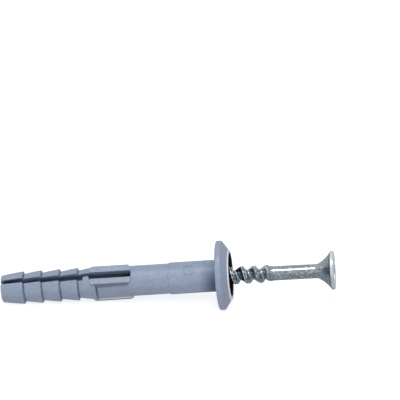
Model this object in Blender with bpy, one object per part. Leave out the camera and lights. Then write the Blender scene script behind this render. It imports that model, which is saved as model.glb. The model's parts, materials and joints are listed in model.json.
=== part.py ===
"""Hammer fixing plug for a 6 mm hole: a moulded nylon plug holding a zinc-plated nail screw.

Both pieces are drawn upright, the plug with the centre of its tip at the origin and its collar above,
and the nail screw with its point at the origin. An empty then lays them down as they rest on a table:
on the collar's rim and the first barb, with the plug's tip towards -X and the nail's head towards +X.
"""

import math

import bmesh
import bpy
from mathutils import Matrix, Vector

MM = 0.001
TURN = 2 * math.pi

# Plug body, with heights measured from the tip
PLUG_LENGTH = 40.0 * MM  # from the tip to the underside of the collar
TIP_RADIUS = 2.5 * MM
TIP_ROUNDING = 0.35 * MM
BARB_COUNT = 5
FIRST_CREST = 4.1 * MM
BARB_PITCH = 3.36 * MM
CREST_RADIUS = 3.0 * MM
ROOT_RADIUS = 2.57 * MM
SHOULDER_RUN = 0.12 * MM  # height over which a barb's shoulder drops to the next root
TUBE_RADIUS = 2.78 * MM  # from the slot's end on, where the last root's taper ends
NECK_RADIUS = 2.93 * MM  # the tube is slightly stouter next to the collar
NECK_LENGTH = 9.0 * MM
NECK_STEP = 0.12 * MM
NECK_FILLET = 0.25 * MM

# Collar
COLLAR_RADIUS = 6.35 * MM
COLLAR_BAND = 1.1 * MM  # height of the cylindrical rim
COLLAR_EDGE = 0.25 * MM  # rounding of the rim's two edges
COLLAR_CONE = 1.1 * MM  # height of the cone above the rim
LIP_HEIGHT = 0.14 * MM
LIP_WIDTH = 0.6 * MM
LIP_EDGE = 0.1 * MM  # rounding of the lip's outer edge
MOUTH_MARGIN = 0.43 * MM  # how far the mouth's radius exceeds the nail head's

# Slot, tabs and fins
SLOT_WIDTH = 1.2 * MM  # from the tab on
SLOT_WAIST = 1.0 * MM  # width where the legs start to close in on the tip
SLOT_TIP = 0.72 * MM  # width at the tip
SLOT_WAIST_HEIGHT = 3.4 * MM
SLOT_LENGTH = 24.15 * MM
SLOT_CORNER = 0.2 * MM
SLOT_ROLL = math.radians(30)  # how far the slot's upper opening leans from upright, towards -Y
TAB_LENGTH = 1.14 * MM
TAB_TO_FIN = 0.12 * MM
FIN_RISE = 3.02 * MM  # of the fins' flat tops above the plug's axis
FIN_WIDTH = 1.28 * MM
FIN_LENGTH = 7.59 * MM
FIN_CORNER = 0.7 * MM

# Nail screw, with heights measured from the point
POINT_RADIUS = 0.12 * MM
POINT_LENGTH = 2.1 * MM
CORE_RADIUS = 0.94 * MM
THREAD_RADIUS = 1.63 * MM
THREAD_PITCH = 2.28 * MM
THREAD_TURNS = 12
THREAD_ROLL = math.radians(90)  # direction in which the thread starts, from the slot's plane
SHANK_RADIUS = 1.32 * MM
SHANK_LENGTH = 8.65 * MM  # smooth length between the thread and the head
RING_RADIUS = 1.43 * MM  # raised ring where the rolled thread ends
RING_HEIGHT = 0.35 * MM
HEAD_RADIUS = 3.55 * MM
HEAD_CONE = 2.5 * MM
HEAD_HOLLOW = 0.22 * MM  # how far the flare under the head curves in from a straight cone
HEAD_RIM = 0.55 * MM
HEAD_EDGE = 0.13 * MM
PROTRUSION = 19.0 * MM  # of the head's face from the collar's mouth, before the nail is driven

# Cross recess in the head
RECESS_REACH = 2.05 * MM
RECESS_FOOT = 0.85 * MM
RECESS_WING = 0.95 * MM
RECESS_DEPTH = 2.0 * MM
RECESS_TAPER = 0.75  # width of a wing at the bottom, as a share of its width at the face
RECESS_CORE = 0.3 * MM  # how far the middle of the recess fills its inner corners

# Bore
TIP_BORE_RADIUS = 0.8 * MM  # of the narrow bore ahead of the driven nail's point
BORE_CLEARANCE = 0.33 * MM  # around the thread, all along the bore
SEAT_CLEARANCE = 0.3 * MM  # between the driven head and its countersink

# Fineness of the curves
PLUG_SIDES = 16
NAIL_SIDES = 24
ARC_STEPS = 3
FLARE_STEPS = 6
CUT_BEYOND = 1.0 * MM  # how far a cutter runs past the surface it cuts
MERGE_DISTANCE = 0.0005 * MM

# A flat of the many-sided rim faces the floor, so the corners are turned by half a side
FLOOR_TURN = -SLOT_ROLL
FLAT_SHARE = math.cos(math.pi / PLUG_SIDES)

# Heights and radii that follow from the sizes above
NECK_START = PLUG_LENGTH - NECK_LENGTH
BAND_TOP = PLUG_LENGTH + COLLAR_BAND
CONE_TOP = BAND_TOP + COLLAR_CONE
MOUTH_HEIGHT = CONE_TOP + LIP_HEIGHT
MOUTH_RADIUS = HEAD_RADIUS + MOUTH_MARGIN
LIP_RADIUS = MOUTH_RADIUS + LIP_WIDTH
FIN_START = SLOT_LENGTH - FIN_LENGTH
TAB_END = FIN_START - TAB_TO_FIN
TAB_START = TAB_END - TAB_LENGTH
THREAD_START = POINT_LENGTH
THREAD_END = THREAD_START + THREAD_TURNS * THREAD_PITCH
HEAD_START = THREAD_END + SHANK_LENGTH
RIM_START = HEAD_START + HEAD_CONE
NAIL_LENGTH = RIM_START + HEAD_RIM
BORE_RADIUS = THREAD_RADIUS + BORE_CLEARANCE

# The countersink runs parallel to the head's flare, and the driven head stops just clear of it
FLARE = (HEAD_RADIUS - SHANK_RADIUS) / HEAD_CONE
SEAT_LIFT = SEAT_CLEARANCE * math.hypot(1, FLARE) / FLARE
COUNTERSINK_DEPTH = (MOUTH_RADIUS - BORE_RADIUS) / FLARE
DRIVEN_RIM = MOUTH_HEIGHT - MOUTH_MARGIN / FLARE + SEAT_LIFT
DRIVEN_POINT = DRIVEN_RIM - RIM_START
REST_POINT = MOUTH_HEIGHT + PROTRUSION - NAIL_LENGTH


def rounded(center, radius, start, end, steps=ARC_STEPS):
    """Points of an arc from one angle in degrees to another, for a profile's rounded edge."""
    angles = [math.radians(start + (end - start) * step / steps) for step in range(steps + 1)]
    return [
        (center[0] + radius * math.cos(angle), center[1] + radius * math.sin(angle))
        for angle in angles
    ]


def made_object(name, shape, smooth_angle=30):
    """The object that holds a bmesh, smooth over its round faces."""
    bmesh.ops.recalc_face_normals(shape, faces=shape.faces)
    mesh = bpy.data.meshes.new(name)
    shape.to_mesh(mesh)
    shape.free()
    mesh.shade_smooth()
    mesh.set_sharp_from_angle(angle=math.radians(smooth_angle))
    made = bpy.data.objects.new(name, mesh)
    bpy.context.scene.collection.objects.link(made)
    return made


def turned(name, profile, sides):
    """Solid turned about Z from (radius, height) points, the first and the last on the axis."""
    shape = bmesh.new()
    first_corner = Matrix.Rotation(FLOOR_TURN + math.pi / sides, 3, "Z")
    points = [shape.verts.new(first_corner @ Vector((r, 0, z))) for r, z in profile]
    edges = [shape.edges.new(pair) for pair in zip(points, points[1:])]
    bmesh.ops.spin(
        shape,
        geom=points + edges,
        axis=(0, 0, 1),
        cent=(0, 0, 0),
        angle=TURN,
        steps=sides,
        use_merge=True,
    )
    bmesh.ops.remove_doubles(shape, verts=shape.verts, dist=MERGE_DISTANCE)
    return made_object(name, shape)


def lofted(name, sections):
    """Solid skinned over closed sections that have the same number of points."""
    shape = bmesh.new()
    loops = [[shape.verts.new(point) for point in section] for section in sections]
    count = len(loops[0])
    for low, high in zip(loops, loops[1:]):
        for here in range(count):
            after = (here + 1) % count
            shape.faces.new((low[here], low[after], high[after], high[here]))
    shape.faces.new(loops[0])
    shape.faces.new(loops[-1])
    return made_object(name, shape)


def cut_or_join(target, tool, operation):
    """Boolean of a helper solid, which stays out of the model itself."""
    tool.parent = target
    tool.hide_render = True
    tool.display_type = "WIRE"
    step = target.modifiers.new(tool.name, "BOOLEAN")
    step.operation = operation
    step.object = tool
    step.solver = "EXACT"


def painted(target, name, color, roughness, metallic):
    """Gives an object its own plain material."""
    material = bpy.data.materials.new(name)
    material.use_nodes = True
    shader = material.node_tree.nodes["Principled BSDF"]
    shader.inputs["Base Color"].default_value = (*color, 1)
    shader.inputs["Roughness"].default_value = roughness
    shader.inputs["Metallic"].default_value = metallic
    target.data.materials.append(material)


def barb_points():
    """Saw-tooth outline: each barb swells towards the collar and ends in a sharp shoulder."""
    points = []
    for barb in range(BARB_COUNT):
        crest = FIRST_CREST + barb * BARB_PITCH
        points += [(CREST_RADIUS, crest), (ROOT_RADIUS, crest + SHOULDER_RUN)]
    return points


def collar_points():
    """Fillet under the collar, rounded rim, cone and the lip round the mouth."""
    cone_lean = math.degrees(math.atan2(COLLAR_CONE, COLLAR_RADIUS - LIP_RADIUS))
    edge = COLLAR_RADIUS - COLLAR_EDGE
    lip = LIP_RADIUS - LIP_EDGE
    fillet_center = (NECK_RADIUS + NECK_FILLET, PLUG_LENGTH - NECK_FILLET)
    return [
        *rounded(fillet_center, NECK_FILLET, 180, 90),
        *rounded((edge, PLUG_LENGTH + COLLAR_EDGE), COLLAR_EDGE, -90, 0),
        *rounded((edge, BAND_TOP - COLLAR_EDGE), COLLAR_EDGE, 0, 90 - cone_lean),
        (LIP_RADIUS, CONE_TOP),
        *rounded((lip, MOUTH_HEIGHT - LIP_EDGE), LIP_EDGE, 0, 90),
    ]


def plug_body():
    """Outside of the plug as a plain turned bar, without its bore."""
    tip_edge = (TIP_RADIUS - TIP_ROUNDING, TIP_ROUNDING)
    profile = [
        (0, 0),
        *rounded(tip_edge, TIP_ROUNDING, -90, 0),
        *barb_points(),
        (TUBE_RADIUS, SLOT_LENGTH),
        (TUBE_RADIUS, NECK_START),
        (NECK_RADIUS, NECK_START + NECK_STEP),
        *collar_points(),
        (0, MOUTH_HEIGHT),
    ]
    return turned("plug", profile, PLUG_SIDES)


def fin_section(half_width, height):
    """Flat-topped bar through the plug, whose two ends stand out over the slot's openings."""
    corners = [(1, -1), (1, 1), (-1, 1), (-1, -1)]
    return [(FIN_RISE * x, half_width * y, height) for x, y in corners]


def fin_bar():
    """Raised fins along both sides of the slot, whose outer corners are rounded."""
    half_width = SLOT_WIDTH / 2 + FIN_WIDTH
    corners = rounded((half_width - FIN_CORNER, FIN_CORNER), FIN_CORNER, -90, 0, steps=4)
    low = [(width, FIN_START + height) for width, height in corners]
    high = [(width, SLOT_LENGTH - height) for width, height in reversed(corners)]
    sections = [fin_section(width, height) for width, height in low + high]
    return lofted("fin_bar", sections)


def slot_cutter(side):
    """One opening of the slot, on the +X or -X side, stepped round the tab that narrows it."""
    half = side * SLOT_WIDTH / 2
    corner = side * SLOT_CORNER
    waist = side * SLOT_WAIST / 2
    tip = side * SLOT_TIP / 2
    outline = [
        (-tip, -CUT_BEYOND),
        (tip, -CUT_BEYOND),
        (tip, 0),
        (waist, SLOT_WAIST_HEIGHT),
        (half, TAB_START),
        (0, TAB_START),
        (0, TAB_END),
        (half, TAB_END),
        (half, SLOT_LENGTH - SLOT_CORNER),
        (half - corner, SLOT_LENGTH),
        (corner - half, SLOT_LENGTH),
        (-half, SLOT_LENGTH - SLOT_CORNER),
        (-half, TAB_START),
        (-waist, SLOT_WAIST_HEIGHT),
        (-tip, 0),
    ]
    inner = -side * SLOT_WIDTH / 2
    outer = side * (FIN_RISE + CUT_BEYOND)
    sections = [[(across, y, z) for y, z in outline] for across in (inner, outer)]
    name = "slot_cutter_near" if side < 0 else "slot_cutter_far"
    return lofted(name, sections)


def bore_cutter():
    """Bore and countersink: they follow the driven nail screw from its point to its head."""
    point_slope = (CORE_RADIUS - POINT_RADIUS) / POINT_LENGTH
    core_radius = CORE_RADIUS + BORE_CLEARANCE * math.hypot(1, point_slope)
    core_start = DRIVEN_POINT + POINT_LENGTH
    taper_start = core_start - (core_radius - TIP_BORE_RADIUS) / point_slope
    above = MOUTH_HEIGHT + CUT_BEYOND
    below = min(0, taper_start) - CUT_BEYOND
    profile = [
        (0, below),
        (TIP_BORE_RADIUS, below),
        (TIP_BORE_RADIUS, taper_start),
        (core_radius, core_start),
        (BORE_RADIUS, core_start + THREAD_PITCH),
        (BORE_RADIUS, MOUTH_HEIGHT - COUNTERSINK_DEPTH),
        (MOUTH_RADIUS + FLARE * CUT_BEYOND, above),
        (0, above),
    ]
    return turned("bore_cutter", profile, PLUG_SIDES)


def plug():
    """Nylon plug, moulded in one piece: barbed and slotted legs, tube and countersunk collar."""
    body = plug_body()
    cut_or_join(body, fin_bar(), "UNION")
    for side in (-1, 1):
        cut_or_join(body, slot_cutter(side), "DIFFERENCE")
    cut_or_join(body, bore_cutter(), "DIFFERENCE")
    painted(body, "grey_nylon", color=(0.33, 0.39, 0.48), roughness=0.42, metallic=0)
    return body


def between(height, stations):
    """Radius at a height, in a straight line between the (height, radius) stations round it."""
    for (low, low_radius), (high, high_radius) in zip(stations, stations[1:]):
        if height <= high:
            share = (height - low) / (high - low)
            return low_radius + share * (high_radius - low_radius)
    return stations[-1][1]


def level(radius, height):
    """One turn of the nail's skin at a constant radius and height."""
    return [(radius, height)] * (NAIL_SIDES + 1)


def thread_turns():
    """Turns of skin that climb by one pitch each, so that each ends where the one a pitch above starts.

    The flank towards the point is long and the one towards the head is steep. What would pass an end
    of the thread lies in its end plane instead, where it merges with the plain shank or the point.
    """
    root = [
        (THREAD_START, CORE_RADIUS),
        (THREAD_END - THREAD_PITCH / 2, CORE_RADIUS),
        (THREAD_END, SHANK_RADIUS),
    ]
    crest = [
        (THREAD_START, CORE_RADIUS),
        (THREAD_START + THREAD_PITCH, THREAD_RADIUS),
        (THREAD_END - THREAD_PITCH / 6, THREAD_RADIUS),
        (THREAD_END, SHANK_RADIUS),
    ]
    flanks = [(0, 0), (1 / 12, 0), (1 / 2, 1), (5 / 6, 1)]
    turns = []
    for turn in range(-1, THREAD_TURNS + 1):
        for share, fullness in flanks:
            skin = []
            for side in range(NAIL_SIDES + 1):
                climbed = THREAD_PITCH * (turn + share + side / NAIL_SIDES)
                height = min(max(THREAD_START + climbed, THREAD_START), THREAD_END)
                low = between(height, root)
                skin.append((low + fullness * (between(height, crest) - low), height))
            turns.append(skin)
    return turns


def head_points():
    """Ring that ends the thread, smooth shank, hollow flare, rim and rounded edge of the face."""
    ring_edge = RING_HEIGHT / 4
    swell = HEAD_RADIUS - SHANK_RADIUS
    chord = math.hypot(HEAD_CONE, swell)
    flare = []
    for step in range(FLARE_STEPS + 1):
        share = step / FLARE_STEPS
        hollow = HEAD_HOLLOW * 4 * share * (1 - share) / chord
        radius = SHANK_RADIUS + share * swell - hollow * HEAD_CONE
        flare.append((radius, HEAD_START + share * HEAD_CONE + hollow * swell))
    return [
        (RING_RADIUS, THREAD_END + ring_edge),
        (RING_RADIUS, THREAD_END + RING_HEIGHT - ring_edge),
        (SHANK_RADIUS, THREAD_END + RING_HEIGHT),
        *flare,
        *rounded((HEAD_RADIUS - HEAD_EDGE, NAIL_LENGTH - HEAD_EDGE), HEAD_EDGE, 0, 90),
    ]


def recess_section(height):
    """Outline of the cross recess at a height: four wings round a square middle."""
    share = 1 + (height - NAIL_LENGTH) / RECESS_DEPTH
    reach = RECESS_FOOT + share * (RECESS_REACH - RECESS_FOOT)
    wing = RECESS_WING / 2 * (RECESS_TAPER + share * (1 - RECESS_TAPER))
    middle = wing + RECESS_CORE
    wing_points = [(reach, -wing), (reach, wing), (middle, wing), (wing, middle)]
    points = []
    for quarter in range(4):
        turn = Matrix.Rotation(quarter * TURN / 4, 3, "Z")
        points += [turn @ Vector((x, y, height)) for x, y in wing_points]
    return points


def nail_screw():
    """Nail screw, cold formed in one piece: point, thread, shank and countersunk head."""
    turns = [
        level(0, 0),
        level(POINT_RADIUS, 0),
        *thread_turns(),
        *[level(radius, height) for radius, height in head_points()],
        level(0, NAIL_LENGTH),
    ]
    shape = bmesh.new()
    grid = []
    for skin in turns:
        corners = []
        for side, (radius, height) in enumerate(skin):
            angle = THREAD_ROLL + TURN * side / NAIL_SIDES
            place = (radius * math.cos(angle), radius * math.sin(angle), height)
            corners.append(shape.verts.new(place))
        grid.append(corners)
    for low, high in zip(grid, grid[1:]):
        for side in range(NAIL_SIDES):
            shape.faces.new((low[side], low[side + 1], high[side + 1], high[side]))
    bmesh.ops.remove_doubles(shape, verts=shape.verts, dist=MERGE_DISTANCE)
    nail = made_object("nail_screw", shape)
    heights = (NAIL_LENGTH - RECESS_DEPTH, NAIL_LENGTH + CUT_BEYOND)
    recess = lofted("recess_cutter", [recess_section(height) for height in heights])
    cut_or_join(nail, recess, "DIFFERENCE")
    painted(nail, "zinc_plate", color=(0.62, 0.67, 0.69), roughness=0.3, metallic=1)
    return nail


def lowest_and_highest(objects):
    """Corners of the box round the finished objects, in world space."""
    bpy.context.view_layer.update()
    graph = bpy.context.evaluated_depsgraph_get()
    points = []
    for item in objects:
        finished = item.evaluated_get(graph)
        points += [finished.matrix_world @ vertex.co for vertex in finished.data.vertices]
    low = Vector(min(point[axis] for point in points) for axis in range(3))
    high = Vector(max(point[axis] for point in points) for axis in range(3))
    return low, high


def lay_down(pieces):
    """Turns the pieces onto their resting line and sets the middle of their base on the origin."""
    rim_drop = (COLLAR_RADIUS - CREST_RADIUS) * FLAT_SHARE
    lean = math.atan2(rim_drop, PLUG_LENGTH + COLLAR_EDGE - FIRST_CREST)
    table = bpy.data.objects.new("lying_on_table", None)
    bpy.context.scene.collection.objects.link(table)
    tip_to_left = Matrix.Rotation(math.pi / 2 - lean, 4, "Y")
    slot_to_near = Matrix.Rotation(SLOT_ROLL, 4, "Z")
    table.rotation_euler = (tip_to_left @ slot_to_near).to_euler()
    for piece in pieces:
        piece.parent = table
    low, high = lowest_and_highest(pieces)
    table.location = (-(low.x + high.x) / 2, -(low.y + high.y) / 2, -low.z)


def hold_on_axis(nail):
    """Stands the nail screw in the bore, free to slide along it until the head meets its seat."""
    nail.location = (0, 0, REST_POINT)
    travel = nail.constraints.new("LIMIT_LOCATION")
    travel.owner_space = "LOCAL"
    travel.use_min_z = True
    travel.min_z = DRIVEN_POINT
    travel.use_max_z = True
    travel.max_z = REST_POINT


for old in list(bpy.data.objects):
    bpy.data.objects.remove(old)
moulded_plug = plug()
driven_nail = nail_screw()
hold_on_axis(driven_nail)
lay_down([moulded_plug, driven_nail])
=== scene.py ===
"""Looks of the hammer fixing plug: a nylon plug and its zinc-plated nail screw, on a pale table.

Both pieces are drawn upright along Z, the plug from the middle of its tip and the nail from its point.
One matrix, worked out from the frame's slide axis and collar seat, lays them along the CAD part.
Lengths are in metres, and each is written as millimetres times MM.
"""

import json
import math

import bmesh
import bpy
from mathutils import Matrix, Vector, noise


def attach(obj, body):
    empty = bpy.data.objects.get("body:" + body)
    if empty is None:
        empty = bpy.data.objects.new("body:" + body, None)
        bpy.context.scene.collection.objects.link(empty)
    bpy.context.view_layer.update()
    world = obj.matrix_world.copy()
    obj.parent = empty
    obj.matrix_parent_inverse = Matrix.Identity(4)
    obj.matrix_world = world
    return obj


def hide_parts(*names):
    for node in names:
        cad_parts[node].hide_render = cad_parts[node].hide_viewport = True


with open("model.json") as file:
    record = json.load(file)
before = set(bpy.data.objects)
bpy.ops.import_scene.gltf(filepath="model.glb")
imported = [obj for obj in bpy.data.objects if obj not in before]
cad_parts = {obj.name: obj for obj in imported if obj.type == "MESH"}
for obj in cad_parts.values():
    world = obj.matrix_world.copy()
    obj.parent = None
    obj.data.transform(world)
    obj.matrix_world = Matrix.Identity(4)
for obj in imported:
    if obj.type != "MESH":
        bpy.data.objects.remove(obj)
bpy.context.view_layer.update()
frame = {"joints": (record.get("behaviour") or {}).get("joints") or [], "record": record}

MM = 0.001
TURN = 2 * math.pi
MERGE_DISTANCE = 0.0005 * MM
SHARP_ANGLE = 35  # degrees between faces that meet in a visible edge

# Plug, with heights measured from the tip
PLUG_LENGTH = 40.0 * MM
TIP_RADIUS = 2.5 * MM
TIP_ROUNDING = 0.35 * MM
BARB_COUNT = 5
FIRST_CREST = 4.1 * MM
BARB_PITCH = 3.36 * MM
CREST_RADIUS = 3.0 * MM
ROOT_RADIUS = 2.57 * MM
SHOULDER = (
    (-0.03 * MM, 0.0),
    (0.02 * MM, 0.03 * MM),
    (0.05 * MM, 0.12 * MM),
    (0.08 * MM, 0.3 * MM),
    (0.11 * MM, 0.5 * MM),
    (0.14 * MM, 0.56 * MM),
    (0.2 * MM, 0.57 * MM),
    (0.26 * MM, 0.5 * MM),
    (0.33 * MM, 0.45 * MM),
)  # fall of the surface past a crest, down into a narrow notch
SHOULDER_END = 0.42 * MM  # where the next barb starts, past a crest
BARB_BULGE = ((0.25, 0.035), (0.5, 0.05), (0.75, 0.035), (0.93, 0.012))  # share along, share added
TUBE_RADIUS = 2.78 * MM
NECK_RADIUS = 2.93 * MM
NECK_START = 31.0 * MM
NECK_FILLET = 0.25 * MM
SEAT_RADIUS = 4.64 * MM  # of the collar seat's point, measured from the plug's axis

# Rows of points: heights round the tube and neck, share and height in the step between them, and
# radii under the collar
SETTLE_LENGTH = 3.0 * MM  # over which the points spread out evenly, above the slot
SETTLE_ROWS = 6
TUBE_ROWS = (28.0 * MM, 29.0 * MM, 30.0 * MM, 30.7 * MM)
NECK_STEP = ((0.0, 0.0), (0.15, 0.03 * MM), (0.5, 0.07 * MM), (0.85, 0.11 * MM), (1.0, 0.15 * MM))
NECK_ROWS = (31.6 * MM, 33.0 * MM, 34.4 * MM, 35.8 * MM, 37.2 * MM, 38.6 * MM, 39.3 * MM)
UNDERSIDE_ROWS = (3.6 * MM, 4.2 * MM, 4.8 * MM, 5.4 * MM, 5.9 * MM)

# Collar
COLLAR_RADIUS = 6.35 * MM
COLLAR_BAND = 1.1 * MM
COLLAR_EDGE = 0.25 * MM
COLLAR_CONE = 1.1 * MM
LIP_HEIGHT = 0.14 * MM
LIP_EDGE = 0.1 * MM
LIP_RADIUS = 4.58 * MM
LIP_FOOT = ((0.03 * MM, -0.02 * MM), (0.005 * MM, 0.005 * MM))  # turn at its foot, out and up
MOUTH_RADIUS = 3.98 * MM
MOUTH_HEIGHT = PLUG_LENGTH + COLLAR_BAND + COLLAR_CONE + LIP_HEIGHT
SINK_SLOPE = 0.892  # radius gained for each unit of height in the countersink
SINK_WALL = 0.45 * MM  # straight wall above the countersink, which leaves room for the loose head

# Bore
TIP_BORE_RADIUS = 0.8 * MM
BORE_RADIUS = 1.96 * MM
BORE_STEPS = (
    (0.0, TIP_BORE_RADIUS),
    (2.54 * MM, TIP_BORE_RADIUS),
    (3.8 * MM, 1.29 * MM),
    (6.08 * MM, BORE_RADIUS),
)

# Slot, tab and fins
SLOT_HALF = 0.66 * MM
SLOT_LENGTH = 24.15 * MM
SLOT_CORNER = 0.2 * MM
END_HALF = SLOT_HALF - SLOT_CORNER  # of the slot's flat end, between its corners
SLOT_EDGE = 0.09 * MM  # rounding of the slot's long edges
SLOT_ROLL = math.radians(30)
TAB_START = 15.3 * MM
TAB_END = 16.44 * MM
TAB_RAMP = 0.1 * MM
SLOT_STATIONS = ((0.0, 0.36 * MM), (3.4 * MM, 0.46 * MM), (TAB_START, SLOT_HALF))
FIN_RISE = 2.93 * MM  # of the flat tops above the plug's axis
FIN_HALF = 1.9 * MM
LOW_FIN = 0.24 * MM  # added to the outer width of the lower leg's far fin
FIN_START = 16.56 * MM
FIN_CORNER = 0.7 * MM
FIN_EDGE = 0.08 * MM
FIN_RAMP = 0.1 * MM
FIN_FOOT = 0.04 * MM

# Parting line of the mould, a quarter turn from the slot
SEAM_HEIGHT = 0.035 * MM
SEAM_PROFILE = ((-0.13 * MM, 0), (-0.06 * MM, 0.75), (0, 1), (0.06 * MM, 0.75), (0.13 * MM, 0))

# Raised mark on the neck, on the slot's side
MARK_HEIGHT = 34.9 * MM
MARK_RADIUS = 0.92 * MM
MARK_WIDTH = 0.24 * MM
MARK_RISE = 0.11 * MM
MARK_SINK = -0.06 * MM  # height of its foot, which is hidden in the wall
PIP_RADIUS = 0.3 * MM

# Nail screw, with heights measured from its point
REST_POINT = 20.18 * MM  # height of the nail's point above the plug's tip
POINT_RADIUS = 0.12 * MM
POINT_LENGTH = 2.1 * MM
CORE_RADIUS = 0.94 * MM
THREAD_RADIUS = 1.63 * MM
THREAD_PITCH = 2.28 * MM
THREAD_TURNS = 12
THREAD_ROLL = math.radians(90)  # direction in which the thread starts, from the slot's plane
NAIL_DROP = 0.27 * MM  # the loose nail lies on the lower side of its bore
NAIL_DIP = math.radians(0.6)  # and its head hangs a little lower
DIP_HEIGHT = 48 * MM  # of the point about which it hangs, from the plug's tip
SHANK_RADIUS = 1.32 * MM
SHANK_LENGTH = 8.65 * MM
RING_RADIUS = 1.43 * MM
RING_HEIGHT = 0.35 * MM
HEAD_RADIUS = 3.55 * MM
HEAD_CONE = 2.5 * MM
HEAD_HOLLOW = 0.22 * MM
HEAD_RIM = 0.55 * MM
HEAD_EDGE = 0.13 * MM
RIM_TURN = (0.03 * MM, 0.05 * MM)  # small turn from the flare into the rim, across and along
THREAD_END = POINT_LENGTH + THREAD_TURNS * THREAD_PITCH
HEAD_START = THREAD_END + SHANK_LENGTH
RIM_START = HEAD_START + HEAD_CONE
NAIL_LENGTH = RIM_START + HEAD_RIM
RING_PROFILE = (
    (RING_RADIUS - 0.04 * MM, 0.03 * MM),
    (RING_RADIUS, 0.09 * MM),
    (RING_RADIUS, RING_HEIGHT - 0.12 * MM),
    (RING_RADIUS - 0.04 * MM, RING_HEIGHT - 0.05 * MM),
    (SHANK_RADIUS, RING_HEIGHT),
)  # radius and height above the thread's end
THREAD_FORM = (
    (0.0, 0.0),
    (0.05, 0.0),
    (0.09, 0.03),
    (0.15, 0.13),
    (0.22, 0.29),
    (0.3, 0.48),
    (0.38, 0.67),
    (0.45, 0.84),
    (0.51, 0.95),
    (0.545, 0.995),
    (0.575, 1.0),
    (0.6, 0.95),
    (0.625, 0.87),
    (0.65, 0.86),
    (0.675, 0.92),
    (0.7, 0.99),
    (0.725, 1.0),
    (0.755, 0.95),
    (0.785, 0.82),
    (0.83, 0.57),
    (0.88, 0.32),
    (0.93, 0.1),
    (0.965, 0.02),
)  # shares of the pitch and of the thread's depth, with the seam that rolling leaves in a crest

# Bruises on the nail's thread and rim: how coarse the two grains are, and how far they move a point
BRUISE_GRAINS = (0.9 / MM, 2.3 / MM)
THREAD_BRUISE = 0.03 * MM
RIM_BRUISE = 0.012 * MM

# Cross recess in the head
RECESS_REACH = 2.05 * MM
RECESS_FOOT = 0.85 * MM
RECESS_WING = 0.95 * MM
RECESS_DEPTH = 2.0 * MM
RECESS_TAPER = 0.75
RECESS_CORE = 0.3 * MM
TICK_START = 0.75 * MM
TICK_REACH = 1.75 * MM
TICK_WIDTH = 0.2 * MM
TICK_DEPTH = 0.28 * MM
CUT_BEYOND = 0.5 * MM  # by which the helper solids stand out of the head

# Fineness of the meshes
EDGE_STEPS = 4
TOP_STEPS = 6
ARC_STEPS = 16
WALL_STEPS = 5
GAP_STEPS = 6
GAP_SHARES = [1 - 2 * step / GAP_STEPS for step in range(GAP_STEPS + 1)]  # across the slot's end
BEND_STEPS = 4
CORNER_STEPS = 8
ROUND_STEPS = 6
RIM_STEPS = 5
CONE_ROWS = 5
SINK_STEPS = 6
BORE_ROWS = 12
MARK_SIDES = 48
PIP_SIDES = 24
NAIL_SIDES = 96
SHANK_ROWS = 14
FLARE_STEPS = 20
STATION_STEP = 0.4 * MM
CLOSEST_STATIONS = 0.004 * MM

# Camera, from the photograph
FOCAL_LENGTH = 400  # mm, with a sensor 36 mm wide
IMAGE_WIDTH = 400
CAMERA_DISTANCE = 813 * MM
CAMERA_AZIMUTH = math.radians(4.2)
CAMERA_ELEVATION = math.radians(30)
CAMERA_ROLL = math.radians(1.26)
COLLAR_PIXEL = (218.2, 275.45)  # where the middle of the collar's underside is in the photograph

# Shade that gathers in the slot, the mouth and the grooves behind the barbs
SHADE_REACH = 1.4 * MM
SHADE_TONES = ((0.3, (0.03, 0.03, 0.035)), (0.46, (0.35, 0.35, 0.37)), (0.62, (1, 1, 1)))
SHINE = 0.5  # of the nylon in the open
SHINE_ENDS = (0.2, 0.55)  # share of open sky where its shine starts and is full

# Tones of the nylon, the plate, its bruises and the table, each with its place in a random cloud
NYLON_TONES = ((0.3, (0.285, 0.335, 0.44)), (0.5, (0.32, 0.372, 0.48)), (0.7, (0.355, 0.41, 0.52)))
PLATE_TONES = ((0.34, (0.15, 0.19, 0.24)), (0.5, (0.26, 0.31, 0.345)), (0.66, (0.42, 0.46, 0.49)))
BRUISE_TONES = ((0.4, (0.1, 0.115, 0.125)), (0.5, (0.3, 0.34, 0.36)), (0.6, (0.7, 0.72, 0.73)))
TABLE_TONES = ((0.3, (0.5, 0.51, 0.52)), (0.7, (0.53, 0.53, 0.54)))

# Painted highlight on the lip and painted shade inside the mouth, and where each starts and is full
LIP_HIGHLIGHT_COLOR = (0.86, 0.87, 0.9)
LIP_HIGHLIGHT_ENDS = (MOUTH_HEIGHT - 0.24 * MM, MOUTH_HEIGHT - 0.2 * MM)
MOUTH_SHADE_COLOR = (0.025, 0.022, 0.022)
MOUTH_SHADE_DEPTH_ENDS = (40.2 * MM, 40.6 * MM)
MOUTH_SHADE_RADIUS_ENDS = (MOUTH_RADIUS + 0.07 * MM, MOUTH_RADIUS + 0.02 * MM)
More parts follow.
